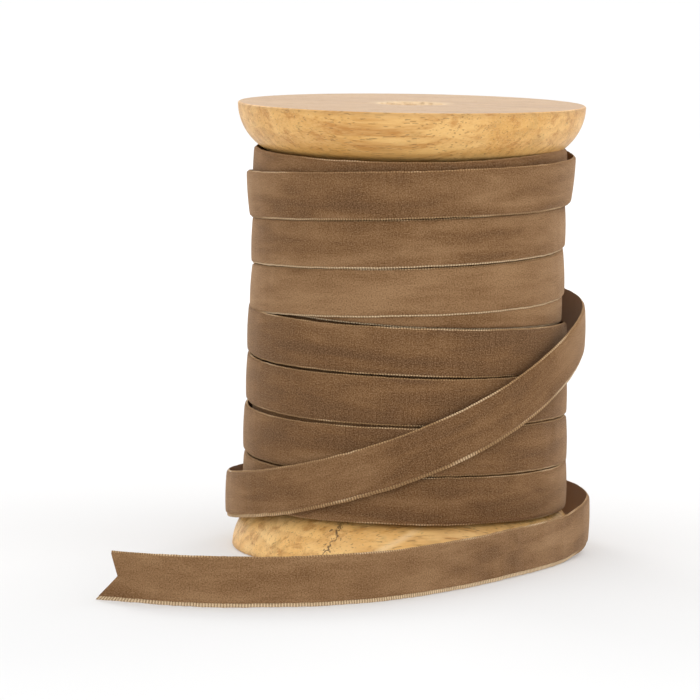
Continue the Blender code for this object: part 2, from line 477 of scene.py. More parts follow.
@dataclass(frozen=True)
class TurnedWood:
    """Golden hardwood with streaks, growth rings, open pores and a thin oil finish.

    The rings run round a heart that lies below the piece. Raw wood is torn and pale, and the flat outer
    face is greyed by a painted reflection of the white sky.
    """

    name: str
    pale: Colour = (0.800, 0.478, 0.165)
    body: Colour = (0.700, 0.378, 0.103)
    amber: Colour = (0.470, 0.195, 0.036)
    fibre: Colour = (0.86, 0.55, 0.22)
    mottle: Colour = (0.40, 0.25, 0.08)
    pore: Colour = (0.22, 0.12, 0.05)
    speck: Colour = (0.30, 0.19, 0.08)
    # Painted reflection: the grey-pink that the white sky lends the flat outer face.
    painted_top_reflection: Colour = (0.45, 0.315, 0.215)
    raw: Colour = (0.86, 0.68, 0.46)
    grime: Colour = (0.33, 0.18, 0.07)
    spalt_line: Colour = (0.085, 0.045, 0.02)
    spalt_streak: Colour = (0.95, 0.72, 0.42)
    turn: float = 12.0
    shift: Triple = (30.0, 10.0, 0.0)
    heart_below: float = 60.0
    ring_gap: float = 5.2
    ring_wander: float = 26.0
    spalted: bool = False
    roughness: float = 0.46
    pore_depth: float = 0.10

    def build(self) -> bpy.types.Material:
        """Make the wood's material.

        Returns:
            The material.
        """
        graph = Graph(self.name)
        place = graph.place_in_mm(self.turn, self.shift)
        _, y, z = graph.parts(place)
        wander = graph.times(graph.grain(place, (0.012, 0.05, 0.05), 3.0, 0.3), self.ring_wander)
        span = graph.plus(graph.hypotenuse(y, graph.plus(z, self.heart_below)), wander)
        ring = graph.maths("FRACT", graph.maths("DIVIDE", span, self.ring_gap))
        late = graph.times(graph.fade(ring, 0.25, 0.92), graph.fade(ring, 1.0, 0.93))
        clouds = graph.grain(place, (0.035, 0.07, 0.07), 3.0, 0.8)
        colour = graph.tint(self.pale, self.body, clouds, 0.36, 0.64)
        streaks = graph.grain(place, (0.018, 0.42, 0.42), 4.0, 0.5, 0.62)
        colour = graph.tint(colour, self.amber, streaks, 0.46, 0.68, 0.75)
        colour = graph.mix(graph.times(late, 0.30), colour, self.amber)
        fibres = graph.grain(place, (0.10, 2.4, 2.4), 3.0, 0.0, 0.6)
        colour = graph.tint(colour, self.fibre, fibres, 0.40, 0.66, 0.32)
        mottling = graph.grain(place, (0.16, 0.24, 0.24), 3.0, 0.6)
        colour = graph.tint(colour, self.mottle, mottling, 0.54, 0.68, 0.22)
        pores = graph.fade(graph.grain(place, (0.24, 2.9, 2.9), 1.0), 0.64, 0.70)
        colour = graph.mix(graph.times(pores, 0.48), colour, self.pore)
        specks = graph.grain(place, (0.75, 1.5, 1.5), 2.0)
        colour = graph.tint(colour, self.speck, specks, 0.66, 0.74, 0.35)
        if self.spalted:
            colour = self.add_spalting(graph, colour)
        raw = graph.attribute("raw")
        # Painted reflection: the flat outer face is greyed towards the sky's reflection.
        colour = graph.mix(graph.times(graph.attribute("painted_top_reflection"), 0.62), colour, self.painted_top_reflection)
        colour = graph.mix(graph.times(raw, 0.75), colour, self.raw)
        colour = graph.mix(graph.times(graph.attribute("grime"), 0.55), colour, self.grime)
        relief = graph.maths("SUBTRACT", graph.times(fibres, 0.5), pores)
        rough = graph.plus(self.roughness, graph.times(graph.plus(raw, pores), 0.25))
        return graph.finish_with(
            Base_Color=colour, Roughness=rough, Specular_IOR_Level=0.34, Coat_Weight=0.06,
            Coat_Roughness=0.35, Normal=graph.bump(relief, self.pore_depth),
        )

    def add_spalting(self, graph: Graph, colour: Socket) -> Socket:
        """Draw a dark zigzag line and a pale streak, as fungus leaves in the wood.

        Args:
            graph: The wood's graph.
            colour: The colour so far.

        Returns:
            The colour with its marks, which show only low on the front.
        """
        place = graph.place_in_mm()
        x, y, z = graph.parts(place)
        near = graph.times(graph.fade(y, -30.0, -36.0), graph.fade(z, 12.5, 9.5))
        jag = graph.times(graph.grain(place, (0.45, 0.45, 0.45), 3.0, 1.2), 11.0)
        lean = graph.plus(graph.times(z, 0.55), -16.5)
        line = graph.maths("ABSOLUTE", graph.maths("SUBTRACT", graph.plus(x, jag), lean))
        mark = graph.times(graph.fade(line, 0.85, 0.25), near)
        colour = graph.mix(graph.times(mark, 0.85), colour, self.spalt_line)
        slope = graph.plus(graph.times(x, 0.52), 8.5)
        streak = graph.maths("ABSOLUTE", graph.maths("SUBTRACT", z, slope))
        bright = graph.times(graph.fade(streak, 1.3, 0.1), near)
        bright = graph.times(bright, graph.fade(x, 6.0, 0.0))
        return graph.mix(graph.times(bright, 0.4), colour, self.spalt_streak)


@dataclass(frozen=True)
class ClothTape:
    """Cream woven tape."""

    thread: Colour = (0.78, 0.70, 0.55)
    gap: Colour = (0.50, 0.43, 0.32)
    threads_per_mm: float = 1.6
    thread_depth: float = 0.06

    def build(self) -> bpy.types.Material:
        """Make the tape's material.

        Returns:
            The material.
        """
        graph = Graph("cloth_tape")
        weave = graph.weave(self.threads_per_mm)
        return graph.finish_with(
            Base_Color=graph.mix(weave, self.gap, self.thread), Roughness=0.8,
            Normal=graph.bump(weave, self.thread_depth),
        )


@dataclass(frozen=True)
class StudioFloor:
    """Plain white paper, a little toned down where the lamps fall on it."""

    white: Colour = (0.90, 0.90, 0.90)
    lit: Colour = (0.72, 0.72, 0.72)
    glow: float = 0.12
    lit_radius: float = 150.0
    white_radius: float = 1900.0

    def build(self) -> bpy.types.Material:
        """Make the floor's material.

        Returns:
            The material.
        """
        graph = Graph("studio_floor")
        x, y, _ = graph.parts(graph.place_in_mm())
        away = graph.hypotenuse(x, y)
        return graph.finish_with(
            Base_Color=graph.tint(self.lit, self.white, away, self.lit_radius, self.white_radius),
            Roughness=0.9, Specular_IOR_Level=0.1, Emission_Color=(1.0, 1.0, 1.0),
            Emission_Strength=self.glow,
        )


# ---- curves -------------------------------------------------------------------------------------


@dataclass(frozen=True)
class Lie:
    """How the ribbon lies at one place on its way round the spool's axis.

    The angle falls as the ribbon runs on, and goes on past a full turn. A lean tips the upper edge
    outwards, by that much at the edge. A flare turns the lower selvedge outwards. Brushing above 0
    leaves the pile paler: crushed pile on most turns, and painted light on the loose turn's right side.
    """

    angle: float
    radius: float
    height: float
    lean: float = 0.0
    flare: float = 0.0
    brushed_pile_and_painted_light: float = 0.0

    def numbers(self) -> np.ndarray:
        """The lie as an array."""
        return np.array([self.angle, self.radius, self.height, self.lean, self.flare, self.brushed_pile_and_painted_light])


def smooth_line(keys: list[np.ndarray], steps: list[int]) -> np.ndarray:
    """Catmull-Rom curve through keys.

    Args:
        keys: The points to pass through.
        steps: Number of steps from each key to the next.

    Returns:
        The curve's points, one row each.
    """
    padded = [keys[0] * 2 - keys[1], *keys, keys[-1] * 2 - keys[-2]]
    rows = []
    for place, count in enumerate(steps):
        before, start, end, after = padded[place:place + 4]
        for step in range(count):
            t = step / count
            straight = 2 * start + (end - before) * t
            bend = (2 * before - 5 * start + 4 * end - after) * t * t
            twist = (3 * start - before - 3 * end + after) * t ** 3
            rows.append(0.5 * (straight + bend + twist))
    rows.append(keys[-1])
    return np.array(rows)


def flutter(along: float, length: float, seed: float) -> float:
    """Smooth noise from -1 to 1 along the ribbon, with waves of about the given length."""
    return noise.noise(Vector((along / length, seed, 0.37)))


def units(rows: np.ndarray) -> np.ndarray:
    """Rows scaled to a length of 1."""
    return rows / np.linalg.norm(rows, axis=1)[:, None]


# ---- ribbon strips ------------------------------------------------------------------------------


@dataclass(frozen=True)
class RibbonSection:
    """The ribbon's cross-section: crowned pile, thin selvedges and a flat back."""

    half_width: float = 6.0
    selvedge: float = 0.42
    upper_selvedge: float = 0.34
    edge_lift: float = 0.10
    selvedge_lift: float = 0.30
    pile_lift: float = 0.72

    def edge(self, selvedge: float, fine: bool) -> list[tuple[float, float]]:
        """One edge's corners, from the rim of the ribbon inwards.

        Args:
            selvedge: Width of the thin selvedge.
            fine: Whether the strip is in sight.

        Returns:
            Distance from the ribbon's middle and lift above the back; the first step is selvedge.
        """
        rim, shoulder = self.half_width, self.half_width - selvedge
        if not fine:
            return [(rim, self.edge_lift), (shoulder, self.pile_lift)]
        return [
            (rim, self.edge_lift), (rim - 0.18, self.selvedge_lift),
            (shoulder + 0.06, self.selvedge_lift),
            (shoulder - 0.02, self.selvedge_lift + 0.22), (shoulder - 0.22, self.pile_lift - 0.06),
            (shoulder - 1.0, self.pile_lift), (2.4, self.pile_lift + 0.03), (1.1, self.pile_lift + 0.04),
        ]

    def outline(self, fine: bool) -> list[tuple[float, float, Face]]:
        """The section's corners, once round.

        Args:
            fine: Whether the strip is in sight.

        Returns:
            Across, lift above the back, and the finish of the face that follows each corner.
        """
        lower = [(-across, lift) for across, lift in self.edge(self.selvedge, fine)]
        upper = self.edge(self.upper_selvedge, fine)[::-1]
        bound = 3 if fine else 1
        selvedge = [Face.SELVEDGE] * bound
        pile = [Face.PILE] * (len(lower) - bound)
        front = list(zip(lower, selvedge + pile))
        if fine:
            front.append(((0.0, self.pile_lift + 0.05), Face.PILE))
        else:
            pile[-1] = Face.SELVEDGE
        front += list(zip(upper, pile + selvedge))
        rows = [(across, lift, face) for (across, lift), face in front]
        back = [(self.half_width, 0.0), (3.0, 0.0), (0.0, 0.0), (-3.0, 0.0)]
        rows += [(across, lift, Face.BACKING) for across, lift in (back if fine else back[:1])]
        return rows + [(-self.half_width, 0.0, Face.SELVEDGE)]


@dataclass(frozen=True)
class StripPlan:
    """One piece of ribbon: where it runs and how its edges behave.

    The line's rows are lies as numbers. From one station on the ribbon stands on its edge, and it
    turns over to that within a few stations. A notch is the depth of the swallow-tail at the far
    end, and a slant is how far the lower corner runs past the upper one.
    """

    name: str
    line: np.ndarray
    start_along: float
    standing_from: int = NEVER
    turn_over: int = 30
    fine: bool = True
    edge_wave: float = 0.16
    cup: float = 0.14
    notch: float = 0.0
    slant: float = 0.0
    cut_reach: float = 14.0
    flare_from: float = 0.55
    section: RibbonSection = RibbonSection()


@dataclass
class RibbonStrip:
    """Builds one piece of ribbon as a closed mesh."""

    plan: StripPlan

    def middles(self) -> np.ndarray:
        """The strip's middle line.

        Returns:
            One point for each station.
        """
        angle = np.radians(self.plan.line[:, ANGLE])
        radius = self.plan.line[:, RADIUS]
        return np.stack([radius * np.cos(angle), radius * np.sin(angle), self.plan.line[:, HEIGHT]], axis=1)

    def travel(self) -> np.ndarray:
        """Length of ribbon run off up to each station."""
        gaps = np.linalg.norm(np.diff(self.middles(), axis=0), axis=1)
        return self.plan.start_along + np.concatenate([[0.0], np.cumsum(gaps)])

    def frames(self) -> tuple[np.ndarray, np.ndarray, np.ndarray, np.ndarray]:
        """How the strip faces at each station.

        Returns:
            Middle, direction of travel, outward normal and upward edge direction of each station.
        """
        middle = self.middles()
        ahead = units(np.gradient(middle, axis=0))
        outward = units(middle * np.array([1.0, 1.0, 0.0]))
        aside = units(np.cross(np.array([0.0, 0.0, 1.0]), ahead))
        past = np.arange(len(middle)) - self.plan.standing_from
        standing = np.clip((past + self.plan.turn_over / 2) / self.plan.turn_over, 0.0, 1.0)[:, None]
        outward = outward * (1.0 - standing) + aside * standing
        outward = units(outward - ahead * np.sum(outward * ahead, axis=1)[:, None])
        upward = np.cross(ahead, outward)
        upward *= np.sign(upward[:, 2])[:, None]
        return middle, ahead, outward, upward

    def build(self, finishes: list[bpy.types.Material]) -> bpy.types.Object:
        """Make the mesh.

        Args:
            finishes: Materials in the order of Face.

        Returns:
            The strip, linked to the scene, in metres.
        """
        plan = self.plan
        outline = plan.section.outline(plan.fine)
        middle, ahead, outward, upward = self.frames()
        travel = self.travel()
        across = np.array([part[0] for part in outline])
        lift = np.array([part[1] for part in outline]) - plan.section.pile_lift / 2.0
        share = across / plan.section.half_width
        flared = np.clip(-share - plan.flare_from, 0.0, 1.0) / (1.0 - plan.flare_from)
        rows = []
        for number, along in enumerate(travel):
            sideways = across + self.edge_shift(along, share)
            out = lift + plan.line[number, LEAN] * share - plan.cup * share ** 2
            out += plan.line[number, FLARE] * flared
            out += 0.10 * flutter(along, 7.0, 4.1) * share + 0.07 * flutter(along, 3.1, 8.3)
            corners = middle[number] + np.outer(sideways, upward[number])
            corners += np.outer(out, outward[number])
            near_end = max(0.0, 1.0 - (travel[-1] - along) / plan.cut_reach)
            pull = plan.notch * (1.0 - np.abs(share)) + plan.slant * share
            rows.append(corners - np.outer(pull * near_end, ahead[number]))
        return self.link(np.array(rows), outline, travel, finishes)

    def edge_shift(self, along: float, share: np.ndarray) -> np.ndarray:
        """Sideways wander of the strip's two edges.

        Args:
            along: Place along the ribbon.
            share: Each corner's place from -1 at the lower edge to 1 at the upper edge.

        Returns:
            Shift of each corner along the strip's width.
        """
        amount = self.plan.edge_wave
        fray = 0.55 * amount * flutter(along, 1.3, 9.5)
        lower = amount * flutter(along, 11.0, 1.7) + 0.35 * amount * flutter(along, 2.9, 5.5) + fray
        upper = amount * flutter(along, 13.0, 2.9) + 0.35 * amount * flutter(along, 3.1, 6.5) - fray
        return np.where(share < 0.0, lower * share ** 2, upper * share ** 2)

    def link(self, rows: np.ndarray, outline: list[tuple[float, float, Face]], travel: np.ndarray,
             finishes: list[bpy.types.Material]) -> bpy.types.Object:
        """Turn the stations' corners into a closed object.

        Args:
            rows: Corners of each station.
            outline: The cross-section.
            travel: Place of each station along the ribbon.
            finishes: Materials in the order of Face.

        Returns:
            The linked object.
        """
        stations, corners = rows.shape[:2]
        across = [part[0] for part in outline]
        faces, finish_of = [], []
        for near in range(0, (stations - 1) * corners, corners):
            far = near + corners
            for corner, (_, _, face) in enumerate(outline):
                after = (corner + 1) % corners
                faces.append((near + corner, near + after, far + after, far + corner))
                finish_of.append(face.value)
        halves = [range(corners)]
        if 0.0 in across:
            halves = [[corner for corner in range(corners) if across[corner] <= 0.0],
                      [corner for corner in range(corners) if across[corner] >= 0.0]]
        for start in (0, (stations - 1) * corners):
            for half in halves:
                faces.append(tuple(start + corner for corner in half))
                finish_of.append(Face.SELVEDGE.value)
        mesh = bpy.data.meshes.new(self.plan.name)
        mesh.from_pydata((rows.reshape(-1, 3) * MM).tolist(), [], faces)
        mesh.polygons.foreach_set("material_index", finish_of)
        carry(mesh, "along", np.repeat(travel, corners))
        carry(mesh, "across", np.tile(across, stations))
        carry(mesh, "brushed_pile_and_painted_light", np.repeat(self.plan.line[:, BRUSHING_AND_LIGHT], corners))
        tidy_normals(mesh)
        for finish in finishes:
            mesh.materials.append(finish)
        return link_object(self.plan.name, mesh)


def carry(mesh: bpy.types.Mesh, name: str, values: Sequence[float]) -> None:
    """Store a named number at each of the mesh's points."""
    numbers = np.asarray(values, dtype=np.float32)
    mesh.attributes.new(name, "FLOAT", "POINT").data.foreach_set("value", numbers)


def tidy_normals(mesh: bpy.types.Mesh, sharp: float = 55.0) -> None:
    """Turn the faces outwards and shade them smooth.

    Args:
        mesh: The mesh to tidy.
        sharp: Edges that bend more than this many degrees stay sharp.
    """
    shape = bmesh.new()
    shape.from_mesh(mesh)
    bmesh.ops.recalc_face_normals(shape, faces=shape.faces[:])
    if shape.calc_volume(signed=True) < 0.0:
        bmesh.ops.reverse_faces(shape, faces=shape.faces[:])
    shape.to_mesh(mesh)
    shape.free()
    mesh.shade_smooth()
    mesh.set_sharp_from_angle(angle=math.radians(sharp))


def link_object(name: str, mesh: bpy.types.Mesh) -> bpy.types.Object:
    """Link a mesh to the scene.

    Args:
        name: The object's name.
        mesh: Its mesh.

    Returns:
        The object.
    """
    item = bpy.data.objects.new(name, mesh)
    bpy.context.collection.objects.link(item)
    return item


# ---- the ribbon ---------------------------------------------------------------------------------


@dataclass
class RibbonLine:
    """The whole ribbon's line, from its taped inner end to its cut end."""

    spool_height: float
    hidden_layers: int = 4
    hidden_pitch: float = 12.6
    first_radius: float = 35.3
    layer_step: float = 0.74
    filler_radii: tuple[float, ...] = (38.55, 39.5)
    filler_top: float = 41.0
    end_margin: float = 19.4
    steps_per_quarter: int = 72
    hidden_steps: int = 14
    lift_off: float = 22.0

    # Visible turns as right, front, left and back: height of the middle, then its radius.
    rising: tuple[tuple[tuple[float, float], ...], ...] = (
        ((17.4, 41.0), (17.6, 41.2), (18.4, 41.6), (23.0, 41.3)),
        ((28.9, 40.9), (29.8, 41.1), (31.0, 41.6), (35.8, 41.2)),
        ((41.2, 40.7), (42.3, 40.9), (44.1, 41.1), (48.8, 41.0)),
        ((52.9, 40.5), (54.8, 40.6), (56.5, 40.9), (60.6, 39.5)),
        ((64.7, 38.9), (66.7, 39.1), (69.8, 39.1), (74.0, 38.6)),
        ((79.0, 38.4), (81.0, 38.4), (84.5, 38.4), (91.0, 38.9)),
        ((97.5, 39.6), (95.9, 40.1), (97.0, 40.0), (98.2, 40.5)),
    )
    falling: tuple[tuple[tuple[float, float], ...], ...] = (
        ((95.7, 41.4), (93.9, 41.3), (90.7, 41.3), (87.4, 41.0)),
        ((84.4, 39.5), (81.8, 40.2), (78.9, 40.2), (75.4, 40.0)),
        ((72.1, 39.4), (69.6, 40.1), (66.9, 40.3)),
    )
    falling_lean: tuple[float, ...] = (0.55, -0.10, -0.25)
    rising_lean: float = -0.12
    falling_brushing: tuple[float, ...] = (0.0, 0.05, 0.11)
    rising_brushing: tuple[float, ...] = (-0.02, -0.04, -0.07, -0.11, 0.08, 0.0, -0.04)
    free_brushing: float = -0.03
    # Pales the tail's pile, and, as painted light, the loose turn's right side.
    tail_and_lit_side_paling: float = 0.06

    # The loose turn: angle, radius, height, in step with the CAD's route, then the tail's x and y.
    loose_turn: tuple[tuple[float, float, float], ...] = (
        (118.0, 42.6, 63.6), (90.0, 42.9, 62.9), (60.0, 43.7, 61.9), (30.0, 44.6, 60.3),
        (5.0, 45.1, 58.0), (-12.0, 44.9, 55.2), (-28.0, 44.4, 50.2), (-45.0, 43.9, 43.8),
        (-62.0, 43.6, 37.4), (-80.0, 43.4, 31.4), (-98.0, 43.4, 26.2), (-117.0, 43.7, 21.7),
        (-138.0, 44.3, 17.8), (-160.0, 45.4, 15.0), (-182.0, 46.1, 13.2), (-210.0, 46.4, 12.1),
        (-240.0, 46.5, 11.4), (-270.0, 46.5, 10.8), (-300.0, 46.6, 10.1), (-330.0, 46.9, 9.3),
        (-354.0, 47.2, 8.5), (-372.0, 46.9, 7.4),
    )
    tail: tuple[tuple[float, float], ...] = (
        (41.3, -21.6), (36.0, -32.5), (28.6, -45.0), (18.8, -60.0), (5.4, -77.0),
        (-11.0, -90.8), (-30.5, -98.6), (-51.5, -98.8), (-71.5, -91.8),
    )
    tail_height: float = 6.15
    tail_flare: float = 0.75
    # Angle, radius, height and lean between the last wound turn and the loose one.
    leading_off: tuple[float, float, float, float] = (150.0, 41.5, 65.2, -0.1)
    # Angles of the loose turn whose pile is painted paler: painted light on its right side.
    painted_lit_side: tuple[float, float] = (-40.0, 30.0)
    station_gap: float = 0.7
    fewest_steps: int = 6

    def hidden_keys(self) -> list[np.ndarray]:
        """Lies of the layers under the visible turns, climbing and falling by turns.

        The full layers come first. The fillers after them fill out only the lower turns.

        Returns:
            The lies, in the order they are wound.
        """
        passes = [(self.first_radius + layer * self.layer_step, self.spool_height - self.end_margin)
                  for layer in range(self.hidden_layers)]
        passes += [(radius, self.filler_top) for radius in self.filler_radii]
        keys = []
        for number, (radius, top) in enumerate(passes):
            quarters = round(4 * (top - self.end_margin) / self.hidden_pitch)
            for quarter in range(quarters + 1):
                share = quarter / quarters
                if number % 2:
                    share = 1.0 - share
                keys.append((self.end_margin + (top - self.end_margin) * share, radius))
        count = len(keys)
        return [Lie(QUARTER_TURN * (count - place), radius, height).numbers()
                for place, (height, radius) in enumerate(keys)]

    def wound_keys(self) -> list[np.ndarray]:
        """Lies of the visible turns and the ones they cover, up to where the ribbon lifts off.

        Returns:
            The lies, a quarter turn apart.
        """
        keys = []
        for turn, brushed_pile_and_painted_light in zip(self.rising, self.rising_brushing):
            keys += [(radius, height, self.rising_lean, 0.0, brushed_pile_and_painted_light) for height, radius in turn]
        for turn, lean, brushed_pile_and_painted_light in zip(self.falling, self.falling_lean, self.falling_brushing):
            keys += [(radius, height, lean, 0.0, brushed_pile_and_painted_light) for height, radius in turn]
        return [Lie(-QUARTER_TURN * place, *lie).numbers() for place, lie in enumerate(keys)]

    def free_keys(self, last: np.ndarray) -> list[np.ndarray]:
        """Lies of the ribbon after it lifts off.

        Args:
            last: The last wound lie, which the free run follows on from.

        Returns:
            The lies, their angles carried on from the last wound one.
        """
        before = last[ANGLE] - 2 * QUARTER_TURN
        angle, radius, height, lean = self.leading_off
        keys = [Lie(before + angle, radius, height, lean).numbers()]
        # Painted light: between these angles the loose turn's pile is painted paler, as its brighter right
        # side.
        start, end = self.painted_lit_side
        for angle, radius, height in self.loose_turn:
            brushed_pile_and_painted_light = self.tail_and_lit_side_paling if start < angle < end else self.free_brushing
            keys.append(Lie(before + angle, radius, height, brushed_pile_and_painted_light=brushed_pile_and_painted_light).numbers())
        for place, (x, y) in enumerate(self.tail):
            angle = before + math.degrees(math.atan2(y, x)) - 4 * QUARTER_TURN
            flare = self.tail_flare * min(1.0, place / 2.0)
            lie = Lie(angle, math.hypot(x, y), self.tail_height, 0.0, flare, self.tail_and_lit_side_paling)
            keys.append(lie.numbers())
        return keys

    def wound_line(self) -> tuple[np.ndarray, np.ndarray]:
        """The wound ribbon's stations.

        Returns:
            Those of the hidden layers, then those of the visible turns.
        """
        hidden, wound = self.hidden_keys(), self.wound_keys()
        steps = [self.hidden_steps] * len(hidden) + [self.steps_per_quarter] * (len(wound) - 1)
        line = smooth_line(hidden + wound, steps)
        split = self.hidden_steps * len(hidden)
        return line[:split + 1], line[split:]

    def free_line(self) -> tuple[np.ndarray, int, int]:
        """Stations from the last wound lie to the cut end.

        Returns:
            The stations, the one where the free run proper starts, and the first on the table.
        """
        last = self.wound_keys()[-1]
        keys = [last, *self.free_keys(last)]
        steps = []
        for start, end in zip(keys, keys[1:]):
            sweep = math.radians(abs(end[ANGLE] - start[ANGLE])) * max(start[RADIUS], end[RADIUS])
            run = math.hypot(sweep, end[RADIUS] - start[RADIUS])
            steps.append(max(self.fewest_steps, round(run / self.station_gap)))
        line = smooth_line(keys, steps)
        leave_angle = last[ANGLE] - 2 * QUARTER_TURN + self.lift_off
        leave = int(np.argmin(np.abs(line[:, ANGLE] - leave_angle)))
        on_table = sum(steps[:len(keys) - len(self.tail)])
        return line, leave, on_table


@dataclass
class Ribbon:
    """The ribbon's pieces: wound turns, the stretch that lifts off, the free run, and its tape.

    The free run shows more of its selvedges, and its cut end has a notch and a slant. The width is
    in metres.
    """

    line: RibbonLine
    width: float = 2 * RibbonSection().half_width * MM
    loose_section: RibbonSection = RibbonSection(selvedge=0.95, upper_selvedge=0.45)
    tape_section: RibbonSection = RibbonSection(selvedge=0.3, upper_selvedge=0.3, edge_lift=0.08,
                                                selvedge_lift=0.16, pile_lift=0.2)
    notch: float = 4.0
    slant: float = 1.9
    tape_start: float = 40.0
    tape_step: float = 2.0
    tape_stations: int = 19

    def build(self) -> list[bpy.types.Object]:
        """Make every piece, the free run and the stretch that leads to it first.

        Returns:
            The pieces.
        """
        finishes = [VelvetPile().build(), RibbedSelvedge().build(), RibbonBacking().build()]
        return [*self.build_free(finishes), *self.build_wound(finishes), self.build_tape()]

    def wound_strips(self) -> tuple[RibbonStrip, RibbonStrip]:
        """Plan the wound ribbon, its whole length in its turns.

        Returns:
            The hidden layers, then the turns that follow them.
        """
        hidden_line, visible_line = self.line.wound_line()
        inner = RibbonStrip(StripPlan("hidden_layers", hidden_line, 0.0, fine=False, edge_wave=0.0))
        run_off = float(inner.travel()[-1])
        return inner, RibbonStrip(StripPlan("wound_ribbon", visible_line, run_off))

    def build_free(self, finishes: list[bpy.types.Material]) -> list[bpy.types.Object]:
        """Args:
            finishes: The ribbon's materials.

        Returns:
            The two pieces.
        """
        line, leave, on_table = self.line.free_line()
        start = float(self.wound_strips()[1].travel()[-1])
        lifting = RibbonStrip(StripPlan("lifting_stretch", line[:leave + 1], start))
        stretch = lifting.build(finishes)
        run_off = float(lifting.travel()[-1])
        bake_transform(stretch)
        strip = RibbonStrip(StripPlan("loose_ribbon_run", line[leave:], run_off, on_table - leave,
                                      notch=self.notch, slant=self.slant, section=self.loose_section))
        run = strip.build(finishes)
        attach(run, Body.LOOSE_RIBBON.value)
        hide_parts("loose_turn", "ribbon_tail")
        return [stretch, run]

    def build_wound(self, finishes: list[bpy.types.Material]) -> list[bpy.types.Object]:
        """Args:
            finishes: The ribbon's materials.

        Returns:
            The hidden layers and the turns over them.
        """
        inner, outer = self.wound_strips()
        run_off = float(inner.travel()[-1])
        layers = inner.build(finishes)
        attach(layers, Body.SPOOL.value)
        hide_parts("winding_layer_1", "winding_layer_2", "winding_layer_3", "winding_layer_4")
        turns = outer.build(finishes)
        length = float(outer.travel()[-1]) - run_off
        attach(turns, Body.SPOOL.value)
        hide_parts("rising_turns", "falling_turns")
        return [layers, turns]

    def build_tape(self) -> bpy.types.Object:
        """Make the tape that holds the ribbon's inner end on the barrel.

        Returns:
            The tape.
        """
        low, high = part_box("inner_end_tape")
        height = (low.z + high.z) / 2 / MM
        radius = high.x / MM - 0.1
        lies = [Lie(self.tape_start - self.tape_step * step, radius, height)
                for step in range(self.tape_stations)]
        line = np.array([lie.numbers() for lie in lies])
        strip = RibbonStrip(StripPlan("inner_end_tape_cloth", line, 0.0, fine=False, edge_wave=0.05,
                                      cup=0.0, section=self.tape_section))
        tape = strip.build([ClothTape().build()] * len(Face))
        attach(tape, Body.SPOOL.value)
        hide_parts("inner_end_tape")
        return tape


# ---- the wooden spool ---------------------------------------------------------------------------


